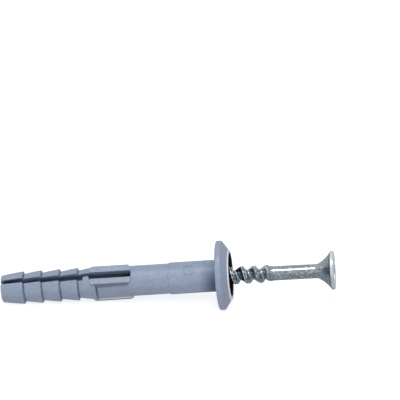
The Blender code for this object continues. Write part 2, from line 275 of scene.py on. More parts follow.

# Painted reflection and painted shadow line along the side of one fin of the lower leg, painted shade
# in the crease at the foot of its other fin, and painted shade that the collar throws on the neck: a
# tone, then where it starts and is full on each axis
PAINTED_FLANK_SIDE = ("Y", (-2.03 * MM, -2.08 * MM))
PAINTED_FLANK_ENDS = (("Z", (17.7 * MM, 17.8 * MM)), ("Z", (SLOT_LENGTH + 0.04 * MM, SLOT_LENGTH)))
FOOT_SHADE_ENDS = (("Z", (17.2 * MM, 17.5 * MM)), ("Z", (23.8 * MM, 23.5 * MM)))
FOOT_SHADE_SIDES = (("Y", (-1.8 * MM, -1.84 * MM)), ("Y", (-2.0 * MM, -1.92 * MM)))
NECK_SHADE = (("Y", (3.0 * MM, -2.4 * MM)), ("Z", (36.6 * MM, 39.0 * MM)))
PAINTED_LIGHT_PLACES = (
    # Painted reflection of the pale table on the fin's side
    ((0.86, 0.86, 0.88), (PAINTED_FLANK_SIDE, *PAINTED_FLANK_ENDS, ("X", (2.0 * MM, 2.04 * MM)))),
    # Painted shadow line along that fin's outer edge
    ((0.12, 0.13, 0.15), (PAINTED_FLANK_SIDE, *PAINTED_FLANK_ENDS, ("X", (2.52 * MM, 2.56 * MM)))),
    # Painted shade in the crease at the foot of the other fin
    ((0.17, 0.205, 0.28), (*FOOT_SHADE_SIDES, *FOOT_SHADE_ENDS, ("X", (-1.4 * MM, -1.5 * MM)))),
    # Painted shadow of the collar on the neck
    ((0.078, 0.113, 0.2), (*NECK_SHADE, ("Z", (40.0 * MM, 39.9 * MM)))),
)

# Bruised crests of the thread, a painted highlight on the rim of the head and painted shade in the
# crease under it, in the same way
CREST_ENDS = (1.5 * MM, 1.58 * MM)
THREADED_ENDS = (THREAD_END + 0.6 * MM, THREAD_END + 0.4 * MM)
RIM_HIGHLIGHT_COLOR = (0.6, 0.63, 0.67)
RIM_HIGHLIGHT_ENDS = (RIM_START - 0.03 * MM, RIM_START + 0.05 * MM)
CREASE_SHADE_COLOR = (0.1, 0.12, 0.14)
CREASE_SHADE_BOUNDS = (
    ("Z", (RIM_START + 0.02 * MM, RIM_START - 0.06 * MM)),
    ("Z", (RIM_START - 0.3 * MM, RIM_START - 0.16 * MM)),
)

# Strength of the table's own glow for each kind of ray
TABLE_GLOW = (("Is Diffuse Ray", 0.35), ("Is Glossy Ray", 0.22), ("Is Camera Ray", 0.78))

# Lamps, with their place, size and power, and whether the pieces mirror them; and the sky
LAMPS = (
    ("front", (0.06, -0.52, 0.6), 0.3, 2.5, False),
    ("overhead", (-0.05, -0.14, 0.75), 0.2, 1.9, True),
)
SKY_COLOR = (0.72, 0.86, 1.0, 1)
SKY_STRENGTH = 0.24


def row_matrix():
    """Matrix from the upright plug to the row frame, where it lies with its slot rolled to one side."""
    axis = -Vector(frame["joints"][0]["axis"]).normalized()
    seat = Vector(frame["record"]["mounts"][0]["pos_m"])
    up = (Vector((0, 0, 1)) - axis * axis.z).normalized()
    opening = up * math.cos(SLOT_ROLL) - Vector((0, 1, 0)) * math.sin(SLOT_ROLL)
    across = axis.cross(-opening)
    origin = seat - up * SEAT_RADIUS - axis * PLUG_LENGTH
    turn = Matrix((-opening, across, axis)).transposed().to_4x4()
    return Matrix.Translation(origin) @ turn


def arc(center, radius, start, end, steps):
    """Points of an arc between two angles in radians."""
    points = []
    for step in range(steps + 1):
        angle = start + (end - start) * step / steps
        points.append((center[0] + radius * math.cos(angle), center[1] + radius * math.sin(angle)))
    return points


def between_points(first, last, steps):
    """Points inside a straight line."""
    return [
        tuple(a + (b - a) * step / steps for a, b in zip(first, last)) for step in range(1, steps)
    ]


def blended(first, last, share):
    """Points a share of the way from the first row to the last."""
    return [tuple(a + (b - a) * share for a, b in zip(p, q)) for p, q in zip(first, last)]


def along(height, stations):
    """Value at a height, in straight lines between (height, value) stations."""
    if height <= stations[0][0]:
        return stations[0][1]
    for (low, first), (high, last) in zip(stations, stations[1:]):
        if height <= high:
            return first + (last - first) * (height - low) / (high - low)
    return stations[-1][1]


def smooth_share(value):
    """Eases a share between 0 and 1."""
    value = min(max(value, 0), 1)
    return value * value * (3 - 2 * value)


def finished_mesh(name, shape):
    """Mesh of a finished shape, with its faces turned outward."""
    bmesh.ops.recalc_face_normals(shape, faces=shape.faces)
    mesh = bpy.data.meshes.new(name)
    shape.to_mesh(mesh)
    shape.free()
    return mesh


def linked_object(name, data):
    """New object in the scene, for a mesh, a lamp or a camera."""
    made = bpy.data.objects.new(name, data)
    bpy.context.scene.collection.objects.link(made)
    return made


def made_object(name, shape):
    """Object that holds a finished shape, whose rows meet without a seam."""
    bmesh.ops.remove_doubles(shape, verts=shape.verts, dist=MERGE_DISTANCE)
    return linked_object(name, finished_mesh(name, shape))


def placed(piece, matrix, material):
    """Sets a finished piece into the row frame, smooth over its round faces, with its material."""
    mesh = piece.data
    mesh.transform(matrix)
    mesh.shade_smooth()
    mesh.set_sharp_from_angle(angle=math.radians(SHARP_ANGLE))
    mesh.materials.append(material)


def add_rows(shape, rows, closed=True):
    """Skin of quads over rows with the same number of points."""
    grid = [[shape.verts.new(point) for point in row] for row in rows]
    count = len(rows[0])
    for low, high in zip(grid, grid[1:]):
        for here in range(count if closed else count - 1):
            after = (here + 1) % count
            shape.faces.new((low[here], low[after], high[after], high[here]))
    return grid


def lofted(shape, sections):
    """Closed solid skinned over sections that have the same number of points."""
    grid = add_rows(shape, sections)
    shape.faces.new(grid[0][::-1])
    shape.faces.new(grid[-1])


def barb_stations():
    """Barbs that swell towards the collar, each with a round crest and a shoulder into a groove."""
    tip_edge = (TIP_RADIUS - TIP_ROUNDING, TIP_ROUNDING)
    rounding = arc(tip_edge, TIP_ROUNDING, -math.pi / 2, 0, ROUND_STEPS)
    stations = [(height, radius) for radius, height in rounding]
    low = TIP_RADIUS
    low_height = TIP_ROUNDING
    for barb in range(BARB_COUNT):
        crest = FIRST_CREST + barb * BARB_PITCH
        rise = CREST_RADIUS - low
        for share, bulge in BARB_BULGE:
            height = low_height + (crest - low_height) * share
            stations.append((height, low + rise * (share + bulge)))
        stations += [(crest + past, CREST_RADIUS - fall) for past, fall in SHOULDER]
        low = ROOT_RADIUS
        low_height = crest + SHOULDER_END
        stations.append((low_height, low))
    stations.append((SLOT_LENGTH, TUBE_RADIUS))
    return stations


# Outside of the legs, as (height, radius) stations
OUTSIDE = barb_stations()


def half_gap(height, tab):
    """Half the slot's width at a height, where a tab may close it and its end has rounded corners."""
    half = along(height, SLOT_STATIONS)
    if tab and TAB_START - TAB_RAMP < height < TAB_END + TAB_RAMP:
        inside = min(height - TAB_START, TAB_END - height) / TAB_RAMP
        return half * (1 - math.sqrt(1 - (1 - min(max(inside, 0), 1)) ** 2))
    past = height - (SLOT_LENGTH - SLOT_CORNER)
    if past > 0:
        return END_HALF + math.sqrt(max(SLOT_CORNER**2 - past**2, 0))
    return half


def fin_rise(height):
    """Share of its full rise that a fin has at a height."""
    inside = min(height - FIN_START, SLOT_LENGTH - height) / FIN_RAMP
    return math.sqrt(1 - (1 - min(max(inside, 0), 1)) ** 2)


def fin_half(height, wider):
    """Half the fins' outer width, with rounded corners at both ends."""
    inside = min(height - FIN_START, SLOT_LENGTH - height)
    short = FIN_CORNER - min(max(inside, 0), FIN_CORNER)
    return FIN_HALF + wider - FIN_CORNER + math.sqrt(FIN_CORNER**2 - short**2)


def on_circle(radius, across):
    """Point of a circle at a distance from the slot's middle plane."""
    return math.sqrt(radius**2 - across**2), across


def plain_side(gap, half, radius):
    """Points from the slot's wall, over its rounded edge, to the foot that a fin would have."""
    wall = gap + SLOT_EDGE
    edge_at = on_circle(radius - SLOT_EDGE, wall)
    points = arc(edge_at, SLOT_EDGE, -math.pi / 2, math.atan2(wall, edge_at[0]), EDGE_STEPS)
    side = half - FIN_EDGE
    start = math.atan2(points[-1][1], points[-1][0])
    points += arc((0, 0), radius, start, math.asin(side / radius), TOP_STEPS)[1:-1]
    for step in range(EDGE_STEPS + 1):
        points.append(on_circle(radius, side + FIN_EDGE * math.sin(math.pi / 2 * step / EDGE_STEPS)))
    return points


def fin_side(gap, half):
    """As many points over a fin: its rounded slot edge, flat top and rounded outer edge."""
    slot_edge = (FIN_RISE - SLOT_EDGE, gap + SLOT_EDGE)
    outer_edge = (FIN_RISE - FIN_EDGE, half - FIN_EDGE)
    first = arc(slot_edge, SLOT_EDGE, -math.pi / 2, 0, EDGE_STEPS)
    last = arc(outer_edge, FIN_EDGE, 0, math.pi / 2, EDGE_STEPS)
    return first + between_points(first[-1], last[0], TOP_STEPS) + last


def leg_edge(height, tab, wider=0.0):
    """Slot side of a leg at a height, on the leg's first side, from the wall to the plain arc."""
    radius = along(height, OUTSIDE)
    gap = half_gap(height, tab)
    half = fin_half(height, wider)
    rise = fin_rise(height)
    points = blended(plain_side(gap, half, radius), fin_side(gap, half), rise)
    foot_x, foot_y = on_circle(radius, half)
    points.append((foot_x + FIN_FOOT * rise, foot_y))
    points.append((foot_x + FIN_FOOT * 0.25 * rise, foot_y + FIN_FOOT * 0.35))
    points.append(on_circle(radius, foot_y + FIN_FOOT))
    return points


def seam_rise(offset):
    """Height of the parting line's ridge at an arc distance from its middle."""
    return SEAM_HEIGHT * along(offset, SEAM_PROFILE)


def leg_outline(height, wider=0.0):
    """Outer side of a leg at a height, from its first slot wall round to its second."""
    radius = along(height, OUTSIDE)
    first = leg_edge(height, tab=True)
    second = leg_edge(height, tab=False, wider=wider)
    seam_start = math.pi / 2 + SEAM_PROFILE[0][0] / radius
    first_start = math.atan2(first[-1][1], first[-1][0])
    second_start = math.atan2(second[-1][1], second[-1][0])
    middle = arc((0, 0), radius, first_start, seam_start, ARC_STEPS)[1:-1]
    for offset, share in SEAM_PROFILE:
        angle = math.pi / 2 + offset / radius
        out = radius + SEAM_HEIGHT * share
        middle.append((out * math.cos(angle), out * math.sin(angle)))
    mirrored = arc((0, 0), radius, second_start, seam_start, ARC_STEPS)[1:-1]
    middle += [(-x, y) for x, y in reversed(mirrored)]
    return first + middle + [(-x, y) for x, y in reversed(second)]


LEG_POINTS = len(leg_outline(SLOT_LENGTH))


def bore_arc(height, count):
    """Bore side of a leg at a height, with as many points as its outer side."""
    radius = along(height, BORE_STEPS)
    first = math.asin(half_gap(height, True) / radius)
    second = math.pi - math.asin(half_gap(height, False) / radius)
    return arc((0, 0), radius, first, second, count - 1)


def leg_loop(height, wider):
    """Closed section of a leg: outer side, second wall, bore and first wall."""
    outer = leg_outline(height, wider)
    bore = bore_arc(height, len(outer))
    second_wall = between_points(outer[-1], bore[-1], WALL_STEPS)
    first_wall = between_points(bore[0], outer[0], WALL_STEPS)
    return outer + second_wall + bore[::-1] + first_wall


def quarter_bends(size, steps):
    """How far a rounded corner of this size has bent, at steps along it."""
    return [size * (1 - math.cos(math.pi / 2 * step / steps)) for step in range(steps + 1)]


def leg_heights():
    """Heights of the sections along a leg: every change of its outline, and steps between them."""
    marks = {0.0, SLOT_LENGTH}
    marks.update(height for height, _ in OUTSIDE)
    marks.update(height for height, _ in BORE_STEPS)
    for bend in quarter_bends(TAB_RAMP, BEND_STEPS):
        marks.update((TAB_START + bend, TAB_END - bend))
    for bend in quarter_bends(FIN_RAMP, BEND_STEPS) + quarter_bends(FIN_CORNER, CORNER_STEPS):
        marks.update((FIN_START + bend, SLOT_LENGTH - bend))
    marks.update(SLOT_LENGTH - bend for bend in quarter_bends(SLOT_CORNER, BEND_STEPS))
    heights = []
    for mark in sorted(marks):
        if heights and mark - heights[-1] < CLOSEST_STATIONS:
            continue
        if heights:
            steps = math.ceil((mark - heights[-1]) / STATION_STEP)
            last = heights[-1]
            heights += [last + (mark - last) * step / steps for step in range(1, steps)]
        heights.append(mark)
    heights[-1] = SLOT_LENGTH
    return heights


def collar_profile():
    """(radius, height, seam share) rows from the slot's end, over the collar and down the bore."""
    rows = []
    for step in range(1, SETTLE_ROWS + 1):
        rows.append((TUBE_RADIUS, SLOT_LENGTH + SETTLE_LENGTH * step / SETTLE_ROWS, 1))
    rows += [(TUBE_RADIUS, height, 1) for height in TUBE_ROWS]
    for share, up in NECK_STEP:
        rows.append((TUBE_RADIUS + (NECK_RADIUS - TUBE_RADIUS) * share, NECK_START + up, 1))
    rows += [(NECK_RADIUS, height, 1) for height in NECK_ROWS]
    fillet_at = (NECK_RADIUS + NECK_FILLET, PLUG_LENGTH - NECK_FILLET)
    fillet = arc(fillet_at, NECK_FILLET, math.pi, math.pi / 2, ROUND_STEPS)
    for step, (radius, height) in enumerate(fillet):
        rows.append((radius, height, 1 - step / ROUND_STEPS))
    rows += [(radius, PLUG_LENGTH, 0) for radius in UNDERSIDE_ROWS]
    edge = COLLAR_RADIUS - COLLAR_EDGE
    band_top = PLUG_LENGTH + COLLAR_BAND
    cone_top = band_top + COLLAR_CONE
    cone_turn = math.pi / 2 - math.atan2(COLLAR_CONE, COLLAR_RADIUS - LIP_RADIUS)
    lip_height = MOUTH_HEIGHT - LIP_EDGE
    sink_top = (MOUTH_RADIUS, lip_height - SINK_WALL)
    sink_foot = (BORE_RADIUS, sink_top[1] - (MOUTH_RADIUS - BORE_RADIUS) / SINK_SLOPE)
    lip_foot = [(LIP_RADIUS + out, cone_top + up) for out, up in LIP_FOOT]
    points = [
        *arc((edge, PLUG_LENGTH + COLLAR_EDGE), COLLAR_EDGE, -math.pi / 2, 0, ROUND_STEPS),
        (COLLAR_RADIUS, PLUG_LENGTH + COLLAR_BAND / 2),
        *arc((edge, band_top - COLLAR_EDGE), COLLAR_EDGE, 0, cone_turn, ROUND_STEPS),
    ]
    points += between_points(points[-1], lip_foot[0], CONE_ROWS)
    points += [
        *lip_foot,
        *arc((LIP_RADIUS - LIP_EDGE, lip_height), LIP_EDGE, 0, math.pi / 2, RIM_STEPS),
        *arc((MOUTH_RADIUS + LIP_EDGE, lip_height), LIP_EDGE, math.pi / 2, math.pi, RIM_STEPS),
        sink_top,
        *between_points(sink_top, sink_foot, SINK_STEPS),
        sink_foot,
        *between_points(sink_foot, (BORE_RADIUS, SLOT_LENGTH), BORE_ROWS),
    ]
    return rows + [(radius, height, 0) for radius, height in points]


def even_angles():
    """Angles of the ring's points from the first wall on, evenly spread but for the seam's own."""
    gap = math.asin(END_HALF / BORE_RADIUS)
    seam = [offset / TUBE_RADIUS for offset, _ in SEAM_PROFILE]
    side_points = (LEG_POINTS - len(seam)) // 2
    quarter = [
        gap + (math.pi / 2 + seam[0] - gap) * step / side_points for step in range(side_points)
    ]
    half = quarter + [math.pi / 2 + offset for offset in seam]
    half += [math.pi - angle for angle in reversed(quarter)]
    half += [math.pi - gap * share for share in GAP_SHARES[1:-1]]
    return half + [angle + math.pi for angle in half]


def slot_end_angles():
    """Angles of the same points at the slot's end, where they follow the legs and the corners."""
    half = [math.atan2(y, x) for x, y in leg_outline(SLOT_LENGTH)]
    half += [math.pi - math.asin(END_HALF * share / TUBE_RADIUS) for share in GAP_SHARES[1:-1]]
    return half + [angle + math.pi for angle in half]


def bore_gap_point(share):
    """Point of the bore between the legs, a share of the way from the middle to the slot's corner."""
    angle = math.pi - math.asin(END_HALF / BORE_RADIUS) * share
    return BORE_RADIUS * math.cos(angle), BORE_RADIUS * math.sin(angle)


def row_at_slot(half):
    """Closed row at the slot's end, from the points of its first half."""
    return [(x, y, SLOT_LENGTH) for x, y in half] + [(-x, -y, SLOT_LENGTH) for x, y in half]


def add_ring(shape):
    """Tube, neck, collar and upper bore: rings that start and end at the slot's end."""
    even = even_angles()
    at_slot = slot_end_angles()
    outline = leg_outline(SLOT_LENGTH)
    gap_outer = [(-outline[0][0], END_HALF * share) for share in GAP_SHARES[1:-1]]
    rows = [row_at_slot(outline + gap_outer)]
    for step in range(1, EDGE_STEPS + 1):
        bend = math.pi / 2 * step / EDGE_STEPS
        sunk = 1 - math.sin(bend)
        height = SLOT_LENGTH + SLOT_EDGE * (1 - math.cos(bend))
        row = []
        for (x, y, _), angle in zip(rows[0], at_slot):
            out = math.hypot(x, y)
            radius = TUBE_RADIUS + (out - TUBE_RADIUS) * sunk if out < TUBE_RADIUS else out
            row.append((radius * math.cos(angle), radius * math.sin(angle), height))
        rows.append(row)
    for radius, height, seam in collar_profile():
        share = smooth_share((height - SLOT_LENGTH - SLOT_EDGE) / SETTLE_LENGTH)
        if radius < TUBE_RADIUS:
            share = 1
        row = []
        for slot_angle, even_angle in zip(at_slot, even):
            angle = slot_angle + (even_angle - slot_angle) * share
            offset = (angle % math.pi - math.pi / 2) * TUBE_RADIUS
            out = radius + seam * seam_rise(offset)
            row.append((out * math.cos(angle), out * math.sin(angle), height))
        rows.append(row)
    gap_inner = [bore_gap_point(share) for share in GAP_SHARES[1:-1]]
    rows.append(row_at_slot(bore_arc(SLOT_LENGTH, LEG_POINTS) + gap_inner))
    add_rows(shape, rows)


def add_slot_end(shape, sign):
    """Flat end of the slot between the two legs, on one side of the bore."""
    outer = leg_outline(SLOT_LENGTH)[-1]
    bore = bore_arc(SLOT_LENGTH, LEG_POINTS)[-1]
    wall = [outer, *between_points(outer, bore, WALL_STEPS)]
    rows = [[(x, END_HALF * share) for share in GAP_SHARES] for x, _ in wall]
    rows.append([bore_gap_point(share) for share in GAP_SHARES])
    placed_rows = [[(sign * x, sign * y, SLOT_LENGTH) for x, y in row] for row in rows]
    add_rows(shape, placed_rows, closed=False)


def add_leg(shape, sign):
    """One of the two legs, closed at the tip and open where it joins the tube."""
    rows = []
    wider = LOW_FIN if sign < 0 else 0.0
    for height in leg_heights():
        rows.append([(sign * x, sign * y, height) for x, y in leg_loop(height, wider)])
    add_rows(shape, rows)
    outer = leg_outline(0)
    bore = bore_arc(0, len(outer))
    wall_rows = [blended(outer, bore, step / WALL_STEPS) for step in range(WALL_STEPS + 1)]
    add_rows(shape, [[(sign * x, sign * y, 0) for x, y in row] for row in wall_rows], closed=False)


def on_mark(reach, angle, rise):
    """Point at a distance and angle from the mark's middle, raised above the neck."""
    around = math.pi + reach * math.sin(angle) / NECK_RADIUS
    radius = NECK_RADIUS + rise
    height = MARK_HEIGHT + reach * math.cos(angle)
    return radius * math.cos(around), radius * math.sin(around), height


def add_mark(shape):
    """Raised mould mark on the neck: a ring with a pip in its middle, sunk a little into the wall."""
    half = MARK_WIDTH / 2
    section = [(-half, MARK_SINK), (-half, MARK_RISE * 0.6), (-half * 0.55, MARK_RISE)]
    section += [(-out, rise) for out, rise in reversed(section)]
    rows = []
    for side in range(MARK_SIDES + 1):
        angle = TURN * side / MARK_SIDES
        rows.append([on_mark(MARK_RADIUS + out, angle, rise) for out, rise in section])
    add_rows(shape, rows)
    pip = ((1, MARK_SINK), (1, 0.45 * MARK_RISE), (0.8, 0.85 * MARK_RISE), (0.4, MARK_RISE))
    angles = [TURN * side / PIP_SIDES for side in range(PIP_SIDES)]
    rows = [[on_mark(PIP_RADIUS * reach, angle, rise) for angle in angles] for reach, rise in pip]
    lofted(shape, rows)


def plug_shape():
    """The whole moulded plug as one closed mesh, with its mould mark."""
    shape = bmesh.new()
    for sign in (1, -1):
        add_leg(shape, sign)
        add_slot_end(shape, sign)
    add_ring(shape)
    add_mark(shape)
    return shape


def thread_rows():
    """Rows that climb by one pitch each, so that each ends where the one a pitch above starts."""
    root = [
        (POINT_LENGTH, CORE_RADIUS),
        (THREAD_END - THREAD_PITCH / 2, CORE_RADIUS),
        (THREAD_END, SHANK_RADIUS),
    ]
    crest = [
        (POINT_LENGTH, CORE_RADIUS),
        (POINT_LENGTH + THREAD_PITCH, THREAD_RADIUS),
        (THREAD_END - THREAD_PITCH / 6, THREAD_RADIUS),
        (THREAD_END, SHANK_RADIUS),
    ]
    rows = []
    for turn in range(-1, THREAD_TURNS + 1):
        for share, fullness in THREAD_FORM:
            row = []
            for side in range(NAIL_SIDES + 1):
                climbed = THREAD_PITCH * (turn + share + side / NAIL_SIDES)
                height = min(max(POINT_LENGTH + climbed, POINT_LENGTH), THREAD_END)
                low = along(height, root)
                radius = low + fullness * (along(height, crest) - low)
                angle = TURN * side / NAIL_SIDES
                row.append((radius, height, angle))
            rows.append(row)
    return rows


def head_rows():
    """(radius, height) of the rows over the ring, smooth shank, hollow flare, rim and face edge."""
    points = [(radius, THREAD_END + up) for radius, up in RING_PROFILE]
    points += between_points(points[-1], (SHANK_RADIUS, HEAD_START), SHANK_ROWS)
    swell = HEAD_RADIUS - SHANK_RADIUS
    chord = math.hypot(HEAD_CONE, swell)
    for step in range(FLARE_STEPS):
        share = step / FLARE_STEPS
        hollow = HEAD_HOLLOW * 4 * share * (1 - share) / chord
        radius = SHANK_RADIUS + share * swell - hollow * HEAD_CONE
        points.append((radius, HEAD_START + share * HEAD_CONE + hollow * swell))
    face = HEAD_RADIUS - HEAD_EDGE
    points += [
        (HEAD_RADIUS - RIM_TURN[0], RIM_START),
        (HEAD_RADIUS, RIM_START + RIM_TURN[1]),
        (HEAD_RADIUS, NAIL_LENGTH - HEAD_RIM / 2),
        *arc((face, NAIL_LENGTH - HEAD_EDGE), HEAD_EDGE, 0, math.pi / 2, RIM_STEPS),
        (face * 0.9, NAIL_LENGTH),
        (face * 0.8, NAIL_LENGTH),
    ]
    return points


def recess_section(height):
    """Outline of the cross recess at a height: four wings round a square middle."""
    share = 1 + (height - NAIL_LENGTH) / RECESS_DEPTH
    reach = RECESS_FOOT + share * (RECESS_REACH - RECESS_FOOT)
    wing = RECESS_WING / 2 * (RECESS_TAPER + share * (1 - RECESS_TAPER))
    middle = wing + RECESS_CORE
    wing_points = [(reach, -wing), (reach, wing), (middle, wing), (wing, middle)]
    points = []
    for quarter in range(4):
        turn = Matrix.Rotation(quarter * TURN / 4, 3, "Z")
        points += [turn @ Vector((x, y, height)) for x, y in wing_points]
    return points


def recess_cutter():
    """Helper solid for the cross recess, which narrows towards its foot."""
    shape = bmesh.new()
    heights = (NAIL_LENGTH - RECESS_DEPTH, NAIL_LENGTH + CUT_BEYOND)
    lofted(shape, [recess_section(height) for height in heights])
    return finished_mesh("recess_cutter", shape)


def tick_cutter():
    """Helper solid for the four shallow ticks between the wings of the recess."""
    shape = bmesh.new()
    for quarter in range(4):
        turn = Matrix.Rotation((quarter + 0.5) * TURN / 4, 3, "Z")
        sections = []
        for reach, depth in ((TICK_START, TICK_DEPTH), (TICK_REACH, TICK_DEPTH * 0.25)):
            high = NAIL_LENGTH + CUT_BEYOND
            wide = TICK_WIDTH / 2 * (1 + (CUT_BEYOND + depth) / TICK_DEPTH * 0.6)
            section = [(reach, 0, NAIL_LENGTH - depth), (reach, wide, high), (reach, -wide, high)]
            sections.append([turn @ Vector(point) for point in section])
        lofted(shape, sections)
    return finished_mesh("tick_cutter", shape)


def cut_away(target, mesh):
    """Cuts a helper solid out of an object's mesh for good."""
    cutter = linked_object(mesh.name, mesh)
    cut = target.modifiers.new(mesh.name, "BOOLEAN")
    cut.operation = "DIFFERENCE"
    cut.object = cutter
    cut.solver = "EXACT"
    bpy.context.view_layer.update()
    graph = bpy.context.evaluated_depsgraph_get()
    result = bpy.data.meshes.new_from_object(target.evaluated_get(graph))
    target.modifiers.clear()
    target.data = result
    bpy.data.objects.remove(cutter)


def rough_crest(place, radius, height):
    """Small bruises on the rolled thread: how far a point on its crest or rim moves out."""
    coarse, fine = BRUISE_GRAINS
    grain = noise.noise(place * coarse) + 0.5 * noise.noise(place * fine)
    if POINT_LENGTH + THREAD_PITCH < height < THREAD_END:
        share = smooth_share((radius - CORE_RADIUS) / (THREAD_RADIUS - CORE_RADIUS))
        return THREAD_BRUISE * share * grain
    if height > RIM_START:
        return RIM_BRUISE * grain
    return 0.0


def nail_shape():
    """Nail screw as one closed mesh: point, thread, shank and head, before its recess is cut."""
    rows = []
    angles = [TURN * side / NAIL_SIDES for side in range(NAIL_SIDES + 1)]
    for radius in (0, POINT_RADIUS):
        rows.append([(radius, 0, angle) for angle in angles])
    rows += thread_rows()
    for radius, height in head_rows():
        rows.append([(radius, height, angle) for angle in angles])
    shape = bmesh.new()
    grid = []
    for row in rows:
        corners = []
        for radius, height, angle in row:
            turned = angle + THREAD_ROLL
            place = Vector((radius * math.cos(turned), radius * math.sin(turned), height))
            out = rough_crest(place, radius, height)
            if radius > 0:
                place += Vector((math.cos(turned), math.sin(turned), 0)) * out
            corners.append(shape.verts.new(place))
        grid.append(corners)
    for low, high in zip(grid, grid[1:]):
        for side in range(NAIL_SIDES):
            shape.faces.new((low[side], low[side + 1], high[side + 1], high[side]))
    bmesh.ops.remove_doubles(shape, verts=shape.verts, dist=MERGE_DISTANCE)
    open_edges = [edge for edge in shape.edges if edge.is_boundary]
    bmesh.ops.holes_fill(shape, edges=open_edges, sides=0)
    return shape


# Materials
def new_material(name, matrix=None):
    """Node material with its surface shader, its place along the piece, and a helper for nodes."""
    material = bpy.data.materials.new(name)
    material.use_nodes = True
    tree = material.node_tree
    shader = tree.nodes["Principled BSDF"]
    place = tree.nodes.new("ShaderNodeTexCoord").outputs["Object"]

    def add(kind, values=None, links=None):
        """New node, with values for its inputs and settings, and links into its other inputs."""
        node = tree.nodes.new(kind)
        for key, value in (values or {}).items():
            if key in node.inputs:
                node.inputs[key].default_value = value
            else:
                setattr(node, key, value)
        for key, source in (links or {}).items():
            tree.links.new(source, node.inputs[key])
        return node

    if matrix:
        pose = {"Location": matrix.to_translation(), "Rotation": matrix.to_euler()}
        upright = add("ShaderNodeMapping", {"vector_type": "TEXTURE", **pose}, {"Vector": place})
        place = upright.outputs["Vector"]
    return material, tree, shader, place, add


def ramp(add, source, stops):
    """Colour ramp over a value, with (position, colour) stops."""
    node = add("ShaderNodeValToRGB", links={"Fac": source})
    elements = node.color_ramp.elements
    elements[0].position, elements[1].position = stops[0][0], stops[-1][0]
    elements[0].color, elements[1].color = (*stops[0][1], 1), (*stops[-1][1], 1)
    for position, color in stops[1:-1]:
        elements.new(position).color = (*color, 1)
    return node.outputs["Color"]


def share_between(add, value, ends):
    """Share of the way that a value has gone from the first end to the last, kept between 0 and 1."""
    node = add("ShaderNodeMapRange", {"From Min": ends[0], "From Max": ends[1]}, {"Value": value})
    return node.outputs["Result"]


def spread(add, value, low, high):
    """Value between 0 and 1, spread out between two others."""
    return add("ShaderNodeMapRange", {"To Min": low, "To Max": high}, {"Value": value}).outputs[0]


def product(add, first, last):
    """Product of two values."""
    return add("ShaderNodeMath", {"operation": "MULTIPLY"}, {0: first, 1: last}).outputs[0]


def cloud(add, place, scale, detail):
    """Random value between 0 and 1 that changes from place to place, finer with a larger scale."""
    values = {"Scale": scale, "Detail": detail}
    return add("ShaderNodeTexNoise", values, {"Vector": place}).outputs["Fac"]


def bumps(add, height, strength, depth, under=None):
    """Surface direction over bumps made of a value, which may lie on top of other bumps."""
    links = {"Height": height}
    if under:
        links["Normal"] = under
    values = {"Strength": strength, "Distance": depth}
    return add("ShaderNodeBump", values, links).outputs["Normal"]


def axis_reach(add, parts):
    """Distance of a place from the piece's axis."""
    flat = add("ShaderNodeCombineXYZ", links={"X": parts.outputs["X"], "Y": parts.outputs["Y"]})
    length = add("ShaderNodeVectorMath", {"operation": "LENGTH"}, {0: flat.outputs[0]})
    return length.outputs["Value"]


def share_within(add, parts, bounds):
    """Share to which a place lies within several bounds, each an axis and its two ends."""
    within = None
    for axis, ends in bounds:
        share = share_between(add, parts.outputs[axis], ends)
        within = product(add, within, share) if within else share
    return within


def mixed(add, share, first, last):
    """Colour that goes by a share from the first to the last, which may be a plain tone."""
    node = add("ShaderNodeMix", {"data_type": "RGBA"}, {0: share, 6: first})
    if isinstance(last, tuple):
        node.inputs[7].default_value = (*last, 1)
    else:
        node.id_data.links.new(last, node.inputs[7])
    return node.outputs[2]


def shaded(add, color, shade):
    """Colour darkened by a shade."""
    kind = {"data_type": "RGBA", "blend_type": "MULTIPLY"}
    node = add("ShaderNodeMix", kind, {6: color, 7: shade})
    node.inputs[0].default_value = 1
    return node.outputs[2]


def nylon(matrix):
    """Blue-grey moulded nylon: satin, faintly cloudy, with a fine grain."""
    material, tree, shader, place, add = new_material("grey_nylon", matrix)
    color = ramp(add, cloud(add, place, 1600, 5), NYLON_TONES)
    sky_share = add(
        "ShaderNodeAmbientOcclusion", {"Distance": SHADE_REACH, "only_local": True, "samples": 16}
    ).outputs["AO"]
    parts = add("ShaderNodeSeparateXYZ", links={"Vector": place})
    height = parts.outputs["Z"]
    # Painted highlight along the lip
    color = mixed(add, share_between(add, height, LIP_HIGHLIGHT_ENDS), color, LIP_HIGHLIGHT_COLOR)
    # Painted shade inside the mouth, which there also takes away the nylon's shine
    inside = share_between(add, axis_reach(add, parts), MOUTH_SHADE_RADIUS_ENDS)
    hollow = product(add, share_between(add, height, MOUTH_SHADE_DEPTH_ENDS), inside)
    color = mixed(add, hollow, color, MOUTH_SHADE_COLOR)
    # Painted reflection, shadow lines and shade at the listed places on the plug
    for tone, bounds in PAINTED_LIGHT_PLACES:
        color = mixed(add, share_within(add, parts, bounds), color, tone)
    color = shaded(add, color, ramp(add, sky_share, SHADE_TONES))
    tree.links.new(color, shader.inputs["Base Color"])
    open_part = add("ShaderNodeMath", {"operation": "SUBTRACT", "use_clamp": True}, {1: hollow})
    open_part.inputs[0].default_value = SHINE
    shine = product(add, open_part.outputs[0], share_between(add, sky_share, SHINE_ENDS))
    tree.links.new(shine, shader.inputs["Specular IOR Level"])
    gloss = spread(add, cloud(add, place, 900, 3), 0.36, 0.5)
    tree.links.new(gloss, shader.inputs["Roughness"])
    fine = bumps(add, cloud(add, place, 4200, 4), 0.12, 0.02 * MM)
    wide = bumps(add, cloud(add, place, 700, 2), 0.2, 0.05 * MM, under=fine)
    tree.links.new(wide, shader.inputs["Normal"])
    shader.inputs["Subsurface Weight"].default_value = 0.12
    shader.inputs["Subsurface Radius"].default_value = (0.4 * MM, 0.45 * MM, 0.6 * MM)
    shader.inputs["Subsurface Scale"].default_value = 1
    shader.inputs["IOR"].default_value = 1.5
    return material


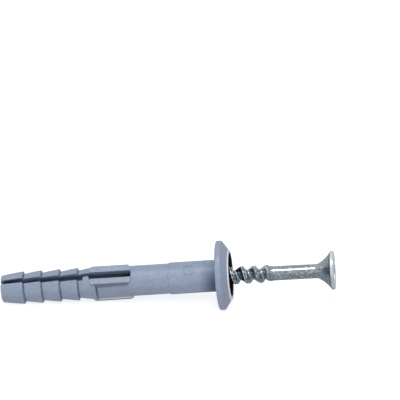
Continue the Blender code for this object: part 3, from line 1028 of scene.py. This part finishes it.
def zinc(matrix):
    """Bright zinc plate: patchy, with marks drawn along the shank and a rough, dull grain."""
    material, tree, shader, place, add = new_material("zinc_plate", matrix)
    plate = ramp(add, cloud(add, place, 2900, 6), PLATE_TONES)
    bruised = ramp(add, cloud(add, place, 3400, 4), BRUISE_TONES)
    parts = add("ShaderNodeSeparateXYZ", links={"Vector": place})
    height = parts.outputs["Z"]
    crest = share_between(add, axis_reach(add, parts), CREST_ENDS)
    worn = product(add, crest, share_between(add, height, THREADED_ENDS))
    color = mixed(add, worn, plate, bruised)
    # Painted highlight along the rim of the head
    color = mixed(add, share_between(add, height, RIM_HIGHLIGHT_ENDS), color, RIM_HIGHLIGHT_COLOR)
    # Painted shade in the crease under the rim
    color = mixed(add, share_within(add, parts, CREASE_SHADE_BOUNDS), color, CREASE_SHADE_COLOR)
    tree.links.new(color, shader.inputs["Base Color"])
    shader.inputs["Metallic"].default_value = 1
    stretched = add("ShaderNodeMapping", {"Scale": (2600, 2600, 300)}, {"Vector": place})
    streaks = cloud(add, stretched.outputs[0], 1, 5)
    tree.links.new(spread(add, streaks, 0.14, 0.4), shader.inputs["Roughness"])
    drawn = bumps(add, streaks, 0.25, 0.02 * MM)
    rough = bumps(add, cloud(add, place, 2600, 5), 0.3, 0.03 * MM, under=drawn)
    tree.links.new(rough, shader.inputs["Normal"])
    return material


def table_top():
    """Pale table that shows as white where nothing shades it."""
    material, tree, shader, place, add = new_material("table_top")
    shader.inputs["Roughness"].default_value = 0.8
    color = ramp(add, cloud(add, place, 30, 2), TABLE_TONES)
    tree.links.new(color, shader.inputs["Base Color"])
    path = add("ShaderNodeLightPath")
    strength = add("ShaderNodeValue").outputs["Value"]
    strength.default_value = 0
    for ray, glow in TABLE_GLOW:
        links = {0: path.outputs[ray], 2: strength}
        seen = add("ShaderNodeMath", {"operation": "MULTIPLY_ADD"}, links)
        seen.inputs[1].default_value = glow
        strength = seen.outputs[0]
    glowing = add("ShaderNodeEmission", {"Color": (1, 1, 1, 1)}, {"Strength": strength})
    both = add("ShaderNodeAddShader", links={0: shader.outputs[0], 1: glowing.outputs[0]})
    tree.links.new(both.outputs[0], tree.nodes["Material Output"].inputs["Surface"])
    return material


def table(material):
    """Flat floor, with its top at the height that the part lies on."""
    half = 2.0
    corners = [(-half, -half, 0), (half, -half, 0), (half, half, 0), (-half, half, 0)]
    mesh = bpy.data.meshes.new("table")
    mesh.from_pydata(corners, [], [(0, 1, 2, 3)])
    mesh.materials.append(material)
    linked_object("table", mesh)


def lamp(name, place, size, power, mirrored):
    """Soft square lamp that faces the part, and that can be kept out of its reflections."""
    data = bpy.data.lights.new(name, "AREA")
    data.shape = "SQUARE"
    data.size = size
    data.energy = power
    made = linked_object(name, data)
    made.location = place
    made.rotation_euler = (-Vector(place)).to_track_quat("-Z", "Y").to_euler()
    made.visible_glossy = mirrored


def lights():
    """A lamp in front, one overhead, and a faint blue sky that shows and mirrors as white."""
    for values in LAMPS:
        lamp(*values)
    world = bpy.data.worlds.new("studio")
    bpy.context.scene.world = world
    world.use_nodes = True
    tree = world.node_tree
    back = tree.nodes["Background"]
    back.inputs["Color"].default_value = SKY_COLOR
    back.inputs["Strength"].default_value = SKY_STRENGTH
    white = tree.nodes.new("ShaderNodeBackground")
    white.inputs["Strength"].default_value = 1
    white.inputs["Color"].default_value = (1, 1, 1, 1)
    path = tree.nodes.new("ShaderNodeLightPath")
    mix = tree.nodes.new("ShaderNodeMixShader")
    seen = tree.nodes.new("ShaderNodeMath")
    seen.operation = "MAXIMUM"
    tree.links.new(path.outputs["Is Camera Ray"], seen.inputs[0])
    tree.links.new(path.outputs["Is Glossy Ray"], seen.inputs[1])
    tree.links.new(seen.outputs[0], mix.inputs[0])
    tree.links.new(back.outputs[0], mix.inputs[1])
    tree.links.new(white.outputs[0], mix.inputs[2])
    tree.links.new(mix.outputs[0], tree.nodes["World Output"].inputs["Surface"])


def camera(collar):
    """Long lens at the photograph's angle, aimed so that the collar falls where it does there."""
    data = bpy.data.cameras.new("camera")
    data.lens = FOCAL_LENGTH
    data.clip_start = 0.01
    made = linked_object("camera", data)
    azimuth, elevation = CAMERA_AZIMUTH, CAMERA_ELEVATION
    back = Vector(
        (
            math.sin(azimuth) * math.cos(elevation),
            -math.cos(azimuth) * math.cos(elevation),
            math.sin(elevation),
        )
    )
    level = Vector((math.cos(azimuth), math.sin(azimuth), 0))
    upright = back.cross(level)
    roll = Matrix.Rotation(-CAMERA_ROLL, 3, back)
    right = roll @ level
    up = roll @ upright
    focal_pixels = FOCAL_LENGTH / data.sensor_width * IMAGE_WIDTH
    pixel = CAMERA_DISTANCE / focal_pixels
    middle = IMAGE_WIDTH / 2
    aim = collar - right * (COLLAR_PIXEL[0] - middle) * pixel
    aim += up * (COLLAR_PIXEL[1] - middle) * pixel
    turn = Matrix((right, up, back)).transposed().to_4x4()
    made.matrix_world = Matrix.Translation(aim + back * CAMERA_DISTANCE) @ turn
    bpy.context.scene.camera = made


def dress():
    """Builds both pieces, places them over the CAD part and gives them to its bodies."""
    to_row = row_matrix()
    plug = made_object("plug_moulding", plug_shape())
    placed(plug, to_row, nylon(to_row))
    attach(plug, "sleeve")
    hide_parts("plug")
    nail = made_object("nail_screw_plated", nail_shape())
    cut_away(nail, recess_cutter())
    cut_away(nail, tick_cutter())
    hinge = to_row @ Vector((0, 0, DIP_HEIGHT))
    dip = Matrix.Rotation(NAIL_DIP, 4, "Y")
    dropped = Matrix.Translation(hinge - Vector((0, 0, NAIL_DROP))) @ dip @ Matrix.Translation(-hinge)
    nail_to_row = dropped @ to_row @ Matrix.Translation((0, 0, REST_POINT))
    placed(nail, nail_to_row, zinc(nail_to_row))
    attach(nail, "nail")
    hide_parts("nail_screw")
    return to_row


bpy.context.scene.view_settings.view_transform = "Standard"
plug_to_row = dress()
table(table_top())
lights()
camera(plug_to_row @ Vector((0, 0, PLUG_LENGTH)))
